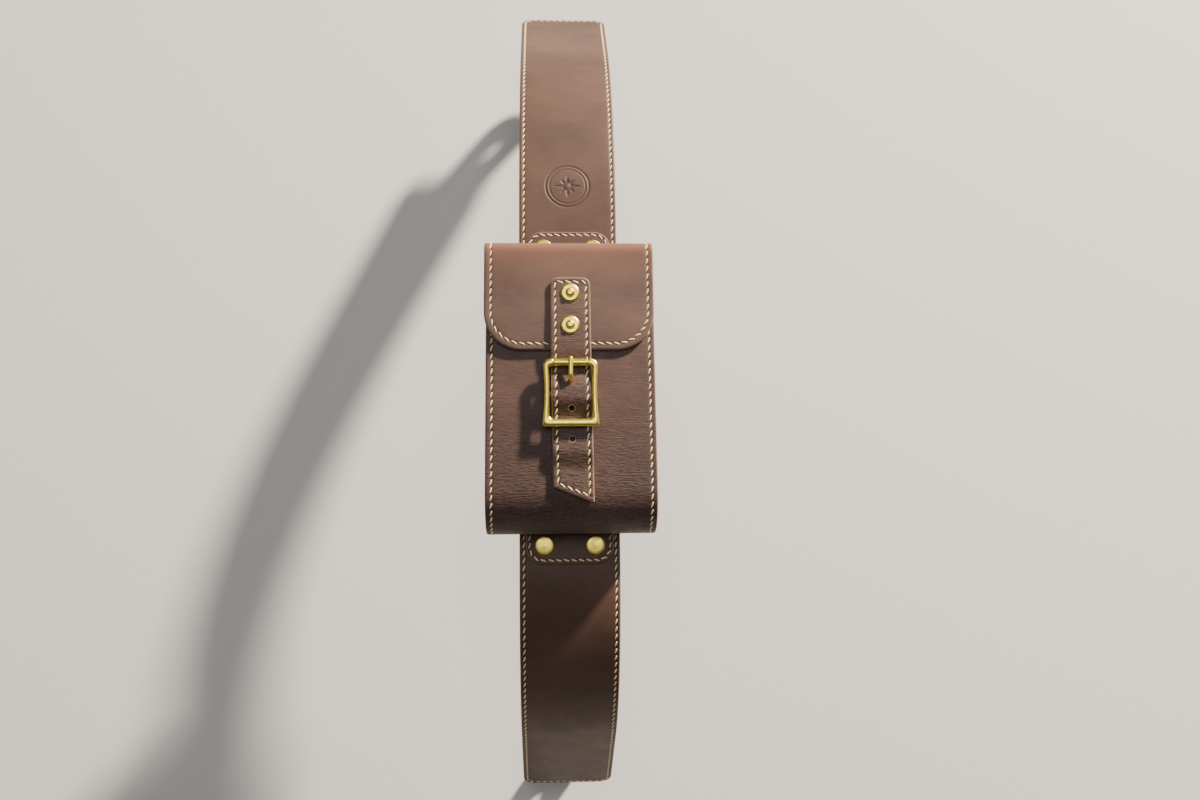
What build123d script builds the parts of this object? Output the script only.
"""A leather motorcycle tank strap with a buckled flap pouch riveted on it.

Millimetres. The origin is on the strap's tank face, in the middle of its flat crown, under the pouch.
+Z points away from the tank, out of the pouch's face, and +Y to the front of the motorcycle.
Every leather piece is one bent strip: a side-view line in Y and Z, given a thickness and a width.
"""

import os
from math import cos, radians, sin, tan

from build123d import *

# ---------------------------------------------------------------- driving dimensions
# strap: two layers, flat on the crown of the tank, bent down over its front and rear
strap_width = 60.0
strap_leather = 2.6
strap_suede = 1.4
strap_corner = 9.0
crown_past_tab = 3.0
front_slope = 45.0
front_bend = 200.0
front_run = 61.0
rear_slope = 58.0
rear_bend = 120.0
rear_run = 83.0

# fixing tails under the strap's ends, each with a brass eyelet for an M8 tank bolt
tail_width = 35.0
tail_leather = 3.0
tail_lap = 42.0
tail_setback = 14.0
tail_bend = 16.0
tail_drop = 42.0
tail_corner = 12.0
eyelet_bore_radius = 4.25
eyelet_wall = 0.6
eyelet_flange_radius = 8.0
eyelet_flange = 0.8
eyelet_from_end = 18.0

# mounting tab between the strap and the pouch, with a pair of rivets at each end
tab_inset = 4.0
tab_leather = 2.5
tab_past_pouch_front = 17.5
tab_past_pouch_rear = 17.5
tab_corner = 10.0
tab_rivet_inset = 10.8
tab_rivet_spacing = 30.2

# double-cap rivet
cap_radius = 5.5
cap_height = 1.3
cap_round_share = 0.6
post_radius = 1.5
post_base_radius = 4.5
post_base = 0.8

# pouch
pouch_width = 97.0
pouch_length = 167.0
pouch_depth = 38.0
pouch_leather = 2.4
back_bottom_radius = 9.0
bottom_flat = 5.0
front_panel_below_top = 7.5
back_panel_below_top = 3.5
gusset_leather = 1.6
gusset_flange = 8.0
gusset_below_top = 4.5

# flap: two layers, from its fold at the back of the pouch, over the mouth and down the face
flap_leather = 2.2
flap_lining_leather = 1.2
flap_face_length = 63.6
flap_fold_radius = 6.0
flap_corner = 22.0
flap_clearance = 0.3
flap_start_height = 2.7
hinge_height = 3.5

# closing strap (billet): two layers, riveted to the flap, threaded through the buckle
billet_width = 23.0
billet_leather = 1.8
billet_backing_leather = 1.2
billet_top_below_fold = 22.2
billet_corner = 4.0
billet_tip_past_chape = 20.6
billet_tip_slant = 9.0
billet_tip_ramp = 8.0
billet_tip_clear = 1.0
billet_over_bar = 3.6
billet_under_roller = 2.8
billet_step = 1.0
billet_bends = [10.0, 8.0, 5.0, 3.6, 3.6, 5.0, 6.0, 8.0]
billet_hole_radius = 1.25
billet_spare_holes = 2
billet_first_hole = 8.8
billet_hole_pitch = 17.2
tongue_slot_length = 8.0
tongue_slot_width = 3.4
tongue_slot_ahead = 7.8

# rivets with burrs that hold the closing strap on the flap
burr_radius = 5.3
burr_height = 1.0
burr_round_share = 0.5
burr_rivet_radius = 1.3
burr_dome_radius = 2.6
burr_dome_height = 1.3
burr_dome_round_share = 0.9
burr_rivet_head_radius = 4.4
burr_rivet_head = 1.0
burr_rivet_first = 9.0
burr_rivet_pitch = 18.6
burr_rivets = 2

# buckle: waisted frame, low centre bar, roller on its upper bar, tongue on the centre bar
buckle_bar_past_flap = 25.0
buckle_reach_up = 19.3
buckle_reach_down = 19.3
buckle_rail_gap = 0.8
buckle_top_flare = 0.9
buckle_bottom_flare = 1.4
buckle_rail = 2.2
buckle_end_bar = 4.6
buckle_thickness = 3.6
buckle_top_corner = 4.6
buckle_bottom_corner = 3.2
buckle_window_corner = 1.6
buckle_edge_round = 0.8
buckle_above_face = 8.4
centre_bar_radius = 1.5
lug_radius = 2.2
lug_inset = 0.1
roller_radius = 2.2
roller_core_radius = 1.4
roller_inset = 2.0
running_clearance = 0.06
roller_end_gap = 0.15
roller_core_overlap = 1.0
tongue_wire_radius = 1.3
tongue_ring_width = 2.6
tongue_neck = 4.7
tongue_neck_rise = 0.5
tongue_past_roller = 3.2
tongue_bends = [2.5, 3.0]
tongue_tip_round_share = 0.8

# chape: the leather loop that holds the centre bar on the pouch's face
chape_leather = 1.4
chape_inset = 1.0
chape_tail = 32.0
chape_slot_width = 4.2
chape_slot_behind = 6.0
chape_fold_meet = 7.3
chape_fold_lead = 1.5
chape_fold_bends = [3.0, 4.0]
chape_hood = 0.8
chape_slit = 0.02

# small gaps
hole_clearance = 0.1
piece_gap = 0.3

# ---------------------------------------------------------------- heights and places worked out
strap_top = strap_suede + strap_leather
tab_width = strap_width - 2 * tab_inset
tab_top = strap_top + tab_leather
face = tab_top + pouch_depth
pouch_top = pouch_length / 2
pouch_bottom = -pouch_length / 2
tab_front = pouch_top + tab_past_pouch_front
tab_rear = pouch_bottom - tab_past_pouch_rear
crown_front = tab_front + crown_past_tab
crown_rear = tab_rear - crown_past_tab
front_mouth = pouch_top - front_panel_below_top
back_mouth = pouch_top - back_panel_below_top
gusset_mouth = pouch_top - gusset_below_top
front_bottom_radius = pouch_depth - back_bottom_radius - bottom_flat
web_outside = pouch_width / 2 - gusset_flange

flap_thickness = flap_leather + flap_lining_leather
flap_top = face + flap_clearance + flap_thickness
flap_edge = pouch_top - flap_face_length
flap_start = tab_top + flap_start_height

billet_thickness = billet_leather + billet_backing_leather
billet_top = pouch_top - billet_top_below_fold
bar_y = flap_edge - buckle_bar_past_flap
bar_z = face + chape_leather + running_clearance + centre_bar_radius
frame_z = face + buckle_above_face
upper_bar_y = bar_y + buckle_reach_up - buckle_end_bar / 2
lower_bar_y = bar_y - buckle_reach_down + buckle_end_bar / 2
loop_radius = centre_bar_radius + running_clearance
buckle_waist_half = billet_width / 2 + buckle_rail_gap + buckle_rail
buckle_top_half = buckle_waist_half + buckle_top_flare
buckle_bottom_half = buckle_waist_half + buckle_bottom_flare
roller_length = billet_width - 2 * roller_inset
chape_width = billet_width - 2 * chape_inset
chape_stack = face + 2 * chape_leather

# points that the closing strap's underside passes
over_bar_z = bar_z + loop_radius + chape_leather + piece_gap
under_roller_z = frame_z - roller_radius - piece_gap - billet_thickness
under_lower_bar_z = frame_z - buckle_thickness / 2 - piece_gap - billet_thickness
chape_end_y = bar_y - chape_tail


# ---------------------------------------------------------------- shared shapes
def side_line(points, radii, height):
    """A bent strip's side-view line, moved to its left by height; each bend keeps its centre."""
    corners = [Vector(*point) for point in points]
    runs = [(after - before).normalized() for before, after in zip(corners, corners[1:])]
    lefts = [Vector(-run.Y, run.X) for run in runs]
    moved = [corners[0] + lefts[0] * height]
    bends = []
    for place, (before, after) in enumerate(zip(lefts, lefts[1:])):
        mitre = (before + after) * (height / (1 + before.dot(after)))
        moved.append(corners[place + 1] + mitre)
        turns_left = before.cross(after).Z > 0
        bends.append(radii[place] - height if turns_left else radii[place] + height)
    moved.append(corners[-1] + lefts[-1] * height)
    return FilletPolyline(*moved, radius=bends)


def strip(points, radii, low, high):
    """Fill the side view of a strip between two heights over its line."""
    with BuildLine() as outline:
        near = side_line(points, radii, low)
        far = side_line(points, radii, high)
        Line(near @ 0, far @ 0)
        Line(near @ 1, far @ 1)
    make_face(outline.edges())


def across(width):
    """The side-view plane at the left edge of a piece that is width wide."""
    return Plane.YZ.offset(-width / 2)


def short_edges(part, length):
    """The edges that cross a strip's thickness at its square corners."""
    return part.edges().filter_by(lambda edge: abs(edge.length - length) < 1e-4)


def end_of_run(start, slope, length):
    """Where a straight run ends, going down at slope degrees from start, to +Y for a positive length."""
    down = abs(length) * sin(radians(slope))
    return start[0] + length * cos(radians(slope)), start[1] - down


# ---------------------------------------------------------------- strap
front_corner = crown_front + front_bend * tan(radians(front_slope / 2))
rear_corner = crown_rear - rear_bend * tan(radians(rear_slope / 2))
front_end = end_of_run((front_corner, 0), front_slope, front_corner - crown_front + front_run)
rear_end = end_of_run((rear_corner, 0), rear_slope, rear_corner - crown_rear - rear_run)
strap_points = [rear_end, (rear_corner, 0), (front_corner, 0), front_end]
strap_bends = [rear_bend, front_bend]

tab_rivet_places = [
    (side * tab_rivet_spacing / 2, y)
    for y in (tab_front - tab_rivet_inset, tab_rear + tab_rivet_inset)
    for side in (-1, 1)
]

with BuildPart() as strap_lining:
    with BuildSketch(across(strap_width)):
        strip(strap_points, strap_bends, 0, strap_suede)
    extrude(amount=strap_width)
    fillet(short_edges(strap_lining, strap_suede), strap_corner)
    with BuildSketch(Plane.XY.offset(strap_suede)):
        with Locations(*tab_rivet_places):
            Circle(post_base_radius + hole_clearance)
    extrude(amount=-post_base, mode=Mode.SUBTRACT)

with BuildPart() as strap_outer:
    with BuildSketch(across(strap_width)):
        strip(strap_points, strap_bends, strap_suede, strap_top)
    extrude(amount=strap_width)
    fillet(short_edges(strap_outer, strap_leather), strap_corner)
    with BuildSketch(Plane.XY.offset(strap_suede)):
        with Locations(*tab_rivet_places):
            Circle(post_radius + hole_clearance)
    extrude(amount=strap_leather, mode=Mode.SUBTRACT)


# ---------------------------------------------------------------- fixing tails and their eyelets
def tail_points(end, slope, side):
    """A tail's line: against the strap's tank face near its end, then straight down."""
    ahead = side * cos(radians(slope)), -sin(radians(slope))
    start = end[0] - ahead[0] * tail_lap, end[1] - ahead[1] * tail_lap
    bend = end[0] - ahead[0] * tail_setback, end[1] - ahead[1] * tail_setback
    turn = tail_bend * tan(radians((90 - slope) / 2))
    return [start, bend, (bend[0], bend[1] - turn - tail_drop)]


def make_tail(points, side):
    """The tail's leather, on the right of its line at the front and on its left at the rear."""
    bottom = points[-1]
    eyelet_z = bottom[1] + eyelet_from_end
    with BuildPart() as tail:
        with BuildSketch(across(tail_width)):
            strip(points, [tail_bend], 0, -side * tail_leather)
        extrude(amount=tail_width)
        fillet(short_edges(tail, tail_leather), tail_corner)
        with BuildSketch(Plane.XZ.offset(-bottom[0])):
            with Locations((0, eyelet_z)):
                Circle(eyelet_bore_radius + eyelet_wall + hole_clearance)
        extrude(amount=2 * tail_leather, both=True, mode=Mode.SUBTRACT)
    return tail.part


def make_eyelet(points, side):
    """A brass eyelet: flange on the tail's outer face, barrel through the leather and the washer."""
    outer_y, eyelet_z = points[-1][0], points[-1][1] + eyelet_from_end
    outward = Plane((0, outer_y, eyelet_z), x_dir=(1, 0, 0), z_dir=(0, side, 0))
    barrel = tail_leather + eyelet_flange
    with BuildPart() as eyelet:
        with BuildSketch(outward):
            Circle(eyelet_flange_radius)
        extrude(amount=eyelet_flange)
        with BuildSketch(outward):
            Circle(eyelet_bore_radius + eyelet_wall)
        extrude(amount=-barrel)
        with BuildSketch(outward.offset(eyelet_flange)):
            Circle(eyelet_bore_radius)
        extrude(amount=-(barrel + eyelet_flange), mode=Mode.SUBTRACT)
        rim = eyelet.edges().filter_by(GeomType.CIRCLE).group_by(SortBy.RADIUS)[-1]
        fillet(rim.sort_by(Axis.Y)[-1 if side > 0 else 0], eyelet_flange * cap_round_share)
    return eyelet.part


def make_eyelet_washer(points, side):
    """The flat washer that the eyelet's barrel is set over, on the tail's inner face."""
    inner_y = points[-1][0] - side * tail_leather
    eyelet_z = points[-1][1] + eyelet_from_end
    inward = Plane((0, inner_y, eyelet_z), x_dir=(1, 0, 0), z_dir=(0, -side, 0))
    with BuildPart() as washer:
        with BuildSketch(inward):
            Circle(eyelet_flange_radius)
            Circle(eyelet_bore_radius + eyelet_wall + hole_clearance, mode=Mode.SUBTRACT)
        extrude(amount=eyelet_flange)
    return washer.part


front_tail_points = tail_points(front_end, front_slope, 1)
rear_tail_points = tail_points(rear_end, rear_slope, -1)

# ---------------------------------------------------------------- mounting tab and its rivets
with BuildPart() as mounting_tab:
    with BuildSketch(Plane.XY.offset(strap_top)):
        with Locations((0, (tab_front + tab_rear) / 2)):
            RectangleRounded(tab_width, tab_front - tab_rear, tab_corner)
        with Locations(*tab_rivet_places):
            Circle(post_radius + hole_clearance, mode=Mode.SUBTRACT)
    extrude(amount=tab_leather)

with BuildPart() as tab_rivet_posts:
    with BuildSketch(Plane.XY.offset(strap_suede)):
        with Locations(*tab_rivet_places):
            Circle(post_base_radius)
    extrude(amount=-post_base)
    with BuildSketch(Plane.XY.offset(strap_suede)):
        with Locations(*tab_rivet_places):
            Circle(post_radius)
    extrude(amount=tab_top - strap_suede)

with BuildPart() as tab_rivet_caps:
    with BuildSketch(Plane.XY.offset(tab_top)):
        with Locations(*tab_rivet_places):
            Circle(cap_radius)
    extrude(amount=cap_height)
    fillet(tab_rivet_caps.edges().group_by(Axis.Z)[-1], cap_height * cap_round_share)

# ---------------------------------------------------------------- pouch body
wrap_points = [
    (front_mouth, face),
    (pouch_bottom, face),
    (pouch_bottom, tab_top),
    (back_mouth, tab_top),
]
gusset_points = [
    (gusset_mouth, face),
    (pouch_bottom, face),
    (pouch_bottom, tab_top),
    (gusset_mouth, tab_top),
]
wrap_bends = [front_bottom_radius, back_bottom_radius]

with BuildPart() as pouch_shell:
    with BuildSketch(across(pouch_width)):
        strip(wrap_points, wrap_bends, 0, pouch_leather)
    extrude(amount=pouch_width)


def make_gusset(side):
    """A moulded side: a flat web set in from the edge, and a flange out to the edge along the wrap."""
    with BuildPart() as gusset:
        with BuildSketch(Plane.YZ.offset(side * web_outside)):
            with BuildLine():
                inside = side_line(gusset_points, wrap_bends, pouch_leather)
                Line(inside @ 0, inside @ 1)
            make_face()
        extrude(amount=-side * gusset_leather)
        with BuildSketch(Plane.YZ.offset(side * web_outside)):
            strip(gusset_points, wrap_bends, pouch_leather, pouch_leather + gusset_leather)
        extrude(amount=side * gusset_flange)
    return gusset.part


# ---------------------------------------------------------------- flap
flap_points = [(pouch_top, flap_start), (pouch_top, flap_top), (flap_edge, flap_top)]
flap_rivet_places = [
    (0, billet_top - burr_rivet_first - number * burr_rivet_pitch) for number in range(burr_rivets)
]


def make_flap_layer(outside, inside, rivet_radius):
    """One layer of the flap, between two depths under its outer face, with holes for the rivets."""
    thickness = inside - outside
    with BuildPart() as layer:
        with BuildSketch(across(pouch_width)):
            strip(flap_points, [flap_fold_radius], outside, inside)
        extrude(amount=pouch_width)
        lower_corners = short_edges(layer, thickness).group_by(Axis.Y)[0]
        fillet(lower_corners, flap_corner)
        with BuildSketch(Plane.XY.offset(flap_top)):
            with Locations(*flap_rivet_places):
                Circle(rivet_radius)
        extrude(amount=-2 * flap_thickness, mode=Mode.SUBTRACT)
    return layer.part


with BuildPart() as flap_rivets:
    with BuildSketch(Plane.XY.offset(flap_top - flap_leather)):
        with Locations(*flap_rivet_places):
            Circle(burr_rivet_head_radius)
    extrude(amount=-burr_rivet_head)
    with BuildSketch(Plane.XY.offset(flap_top - flap_leather)):
        with Locations(*flap_rivet_places):
            Circle(burr_rivet_radius)
    extrude(amount=flap_leather + billet_thickness + burr_height)
    with BuildSketch(Plane.XY.offset(flap_top + billet_thickness + burr_height)):
        with Locations(*flap_rivet_places):
            Circle(burr_dome_radius)
    extrude(amount=burr_dome_height)
    fillet(flap_rivets.edges().group_by(Axis.Z)[-1], burr_dome_height * burr_dome_round_share)

with BuildPart() as flap_burrs:
    with BuildSketch(Plane.XY.offset(flap_top + billet_thickness)):
        with Locations(*flap_rivet_places):
            Circle(burr_radius)
            Circle(burr_rivet_radius + hole_clearance / 2, mode=Mode.SUBTRACT)
    extrude(amount=burr_height)
    upper_rims = flap_burrs.edges().group_by(Axis.Z)[-1].group_by(SortBy.RADIUS)[-1]
    fillet(upper_rims, burr_height * burr_round_share)

# ---------------------------------------------------------------- closing strap
billet_left_tip = chape_end_y - billet_tip_past_chape
billet_right_tip = billet_left_tip - billet_tip_slant
billet_points = [
    (billet_right_tip, face + piece_gap),
    (chape_end_y - billet_tip_clear - billet_tip_ramp, face + piece_gap),
    (chape_end_y - billet_tip_clear, chape_stack + piece_gap),
    (lower_bar_y + buckle_end_bar, under_lower_bar_z),
    (bar_y - billet_over_bar, over_bar_z),
    (bar_y + billet_over_bar, over_bar_z),
    (upper_bar_y - billet_under_roller, under_roller_z),
    (upper_bar_y + billet_under_roller, under_roller_z),
    (flap_edge - billet_step, flap_top),
    (billet_top, flap_top),
]
billet_hole_places = [
    (0, bar_y - billet_first_hole - number * billet_hole_pitch)
    for number in range(billet_spare_holes)
]


def make_billet_layer(low, high):
    """One layer of the closing strap, with its slanted tip, its slot and its round holes."""
    thickness = high - low
    with BuildPart() as layer:
        with BuildSketch(across(billet_width)):
            strip(billet_points, billet_bends, low, high)
        extrude(amount=billet_width)
        upper_corners = short_edges(layer, thickness).group_by(Axis.Y)[-1]
        fillet(upper_corners, billet_corner)
        with BuildSketch(Plane.XY.offset(face)):
            with BuildLine():
                Polyline(
                    (-billet_width / 2, billet_left_tip),
                    (billet_width / 2, billet_right_tip),
                    (-billet_width / 2, billet_right_tip),
                    close=True,
                )
            make_face()
            with Locations(*billet_hole_places):
                Circle(billet_hole_radius)
            with Locations(*flap_rivet_places):
                Circle(burr_rivet_radius + hole_clearance / 2)
            with Locations((0, bar_y + tongue_slot_ahead)):
                SlotOverall(tongue_slot_length, tongue_slot_width, rotation=90)
        extrude(amount=3 * buckle_above_face, mode=Mode.SUBTRACT)
    return layer.part


# ---------------------------------------------------------------- buckle
def waisted_outline(inset, top, bottom):
    """The right side of the buckle's outline as an arc through the waist, and its mirror image."""
    right = ThreePointArc(
        (buckle_top_half - inset, top),
        (buckle_waist_half - inset, bar_y),
        (buckle_bottom_half - inset, bottom),
    )
    left = mirror(right, about=Plane.YZ)
    Line(right @ 0, Vector(-(right @ 0).X, top))
    Line(right @ 1, Vector(-(right @ 1).X, bottom))
    return left


frame_top = bar_y + buckle_reach_up
frame_bottom = bar_y - buckle_reach_down
window_top = frame_top - buckle_end_bar
window_bottom = frame_bottom + buckle_end_bar

with BuildPart() as buckle_frame:
    with BuildSketch(Plane.XY.offset(frame_z - buckle_thickness / 2)) as frame_ring:
        with BuildLine():
            waisted_outline(0, frame_top, frame_bottom)
        make_face()
        corners = frame_ring.vertices().group_by(Axis.Y)
        fillet(corners[0], buckle_bottom_corner)
        fillet(corners[-1], buckle_top_corner)
        with BuildSketch(mode=Mode.SUBTRACT) as window:
            with BuildLine():
                waisted_outline(buckle_rail, window_top, window_bottom)
            make_face()
            fillet(window.vertices(), buckle_window_corner)
    extrude(amount=buckle_thickness)
    flats = buckle_frame.faces().filter_by(Axis.Z)
    fillet(flats.edges(), buckle_edge_round)
    with BuildSketch(Plane.XY.offset(frame_z - buckle_thickness)):
        with Locations((0, (frame_top + window_top) / 2)):
            Rectangle(roller_length + 2 * roller_end_gap, 2 * buckle_end_bar)
    extrude(amount=2 * buckle_thickness, mode=Mode.SUBTRACT)
    core_length = roller_length + 2 * roller_core_overlap
    with BuildSketch(across(core_length)):
        with Locations((upper_bar_y, frame_z)):
            Circle(roller_core_radius)
    extrude(amount=core_length)
    lug_inside = buckle_waist_half - buckle_rail + lug_inset
    for side in (-1, 1):
        with BuildSketch(Plane.YZ.offset(side * lug_inside)):
            with Locations((bar_y, bar_z)):
                Circle(lug_radius)
            with Locations((bar_y, (bar_z + frame_z) / 2)):
                Rectangle(2 * lug_radius, frame_z - bar_z)
        extrude(amount=side * (buckle_rail - 2 * lug_inset))
    bar_length = 2 * buckle_waist_half - buckle_rail
    with BuildSketch(across(bar_length)):
        with Locations((bar_y, bar_z)):
            Circle(centre_bar_radius)
    extrude(amount=bar_length)

with BuildPart() as buckle_roller:
    with BuildSketch(across(roller_length)):
        with Locations((upper_bar_y, frame_z)):
            Circle(roller_radius)
            Circle(roller_core_radius + running_clearance, mode=Mode.SUBTRACT)
    extrude(amount=roller_length)

tongue_over_roller = frame_z + roller_radius + hole_clearance + tongue_wire_radius
tongue_neck_z = bar_z + tongue_neck_rise
tongue_points = [
    (bar_y + loop_radius / 2, tongue_neck_z),
    (bar_y + tongue_neck, tongue_neck_z),
    (bar_y + tongue_neck + tongue_over_roller - tongue_neck_z, tongue_over_roller),
    (upper_bar_y + tongue_past_roller, tongue_over_roller),
]

with BuildPart() as buckle_tongue:
    with BuildSketch(across(tongue_ring_width)):
        with Locations((bar_y, bar_z)):
            Circle(loop_radius + tongue_wire_radius)
    extrude(amount=tongue_ring_width)
    with BuildLine(Plane.YZ) as tongue_path:
        FilletPolyline(*tongue_points, radius=tongue_bends)
    with BuildSketch(Plane(tongue_path.line @ 0, z_dir=tongue_path.line % 0)):
        Circle(tongue_wire_radius)
    sweep(path=tongue_path.line)
    tip = buckle_tongue.faces().sort_by(Axis.Y)[-1]
    fillet(tip.edges(), tongue_wire_radius * tongue_tip_round_share)
    with BuildSketch(across(2 * tongue_ring_width)):
        with Locations((bar_y, bar_z)):
            Circle(loop_radius)
    extrude(amount=2 * tongue_ring_width, mode=Mode.SUBTRACT)

chape_front = bar_y + loop_radius + chape_leather
chape_low = face + chape_leather
loop_top = bar_z + loop_radius
fold_meet = bar_y - chape_fold_meet

with BuildPart() as buckle_chape:
    with BuildSketch(across(chape_width)):
        with BuildLine():
            outside = FilletPolyline(
                (chape_end_y, face),
                (chape_front, face),
                (chape_front, loop_top + chape_leather),
                (bar_y - chape_hood, loop_top + chape_leather),
                (fold_meet - chape_fold_lead, chape_stack),
                (chape_end_y, chape_stack),
                radius=[loop_radius + chape_leather] * 2 + chape_fold_bends,
            )
            Line(outside @ 1, outside @ 0)
        make_face()
        with BuildLine():
            inside = FilletPolyline(
                (fold_meet, chape_low),
                (bar_y + loop_radius, chape_low),
                (bar_y + loop_radius, loop_top),
                (bar_y - chape_hood, loop_top),
                (fold_meet, chape_low + chape_slit),
                radius=[loop_radius, loop_radius, chape_fold_bends[0] - chape_leather],
            )
            Line(inside @ 1, inside @ 0)
        make_face(mode=Mode.SUBTRACT)
    extrude(amount=chape_width)
    slot_front = chape_front + chape_leather
    slot_rear = bar_y - chape_slot_behind
    with BuildSketch(Plane.XY.offset(face - chape_leather)):
        with Locations((0, (slot_rear + slot_front) / 2)):
            Rectangle(chape_slot_width, slot_front - slot_rear)
    extrude(amount=2 * buckle_above_face, mode=Mode.SUBTRACT)

# ---------------------------------------------------------------- the pieces, one file each
pieces = {
    "strap_outer": strap_outer.part,
    "strap_lining": strap_lining.part,
    "front_tail": make_tail(front_tail_points, 1),
    "front_eyelet": make_eyelet(front_tail_points, 1),
    "front_eyelet_washer": make_eyelet_washer(front_tail_points, 1),
    "rear_tail": make_tail(rear_tail_points, -1),
    "rear_eyelet": make_eyelet(rear_tail_points, -1),
    "rear_eyelet_washer": make_eyelet_washer(rear_tail_points, -1),
    "mounting_tab": mounting_tab.part,
    "tab_rivet_posts": tab_rivet_posts.part,
    "tab_rivet_caps": tab_rivet_caps.part,
    "pouch_shell": pouch_shell.part,
    "left_gusset": make_gusset(-1),
    "right_gusset": make_gusset(1),
    "flap_outer": make_flap_layer(0, flap_leather, burr_rivet_radius + hole_clearance / 2),
    "flap_lining": make_flap_layer(
        flap_leather, flap_thickness, burr_rivet_head_radius + hole_clearance
    ),
    "flap_rivets": flap_rivets.part,
    "flap_burrs": flap_burrs.part,
    "billet_backing": make_billet_layer(0, billet_backing_leather),
    "billet_outer": make_billet_layer(billet_backing_leather, billet_thickness),
    "buckle_frame": buckle_frame.part,
    "buckle_roller": buckle_roller.part,
    "buckle_tongue": buckle_tongue.part,
    "buckle_chape": buckle_chape.part,
}

os.makedirs("parts", exist_ok=True)
for name, piece in pieces.items():
    piece.label = name
    export_step(piece, f"parts/{name}.step")

# the places of the joints and mounts, in y and z
places = {
    "flap hinge": (pouch_top - flap_thickness / 2, tab_top + hinge_height),
    "closing strap's bend": (flap_edge, flap_top),
    "centre bar": (bar_y, bar_z),
    "upper bar": (upper_bar_y, frame_z),
    "front eyelet": (front_tail_points[-1][0], front_tail_points[-1][1] + eyelet_from_end),
    "rear eyelet": (rear_tail_points[-1][0], rear_tail_points[-1][1] + eyelet_from_end),
}
for name, (y, z) in places.items():
    print(f"{name}: y {y:.3f}, z {z:.3f}")
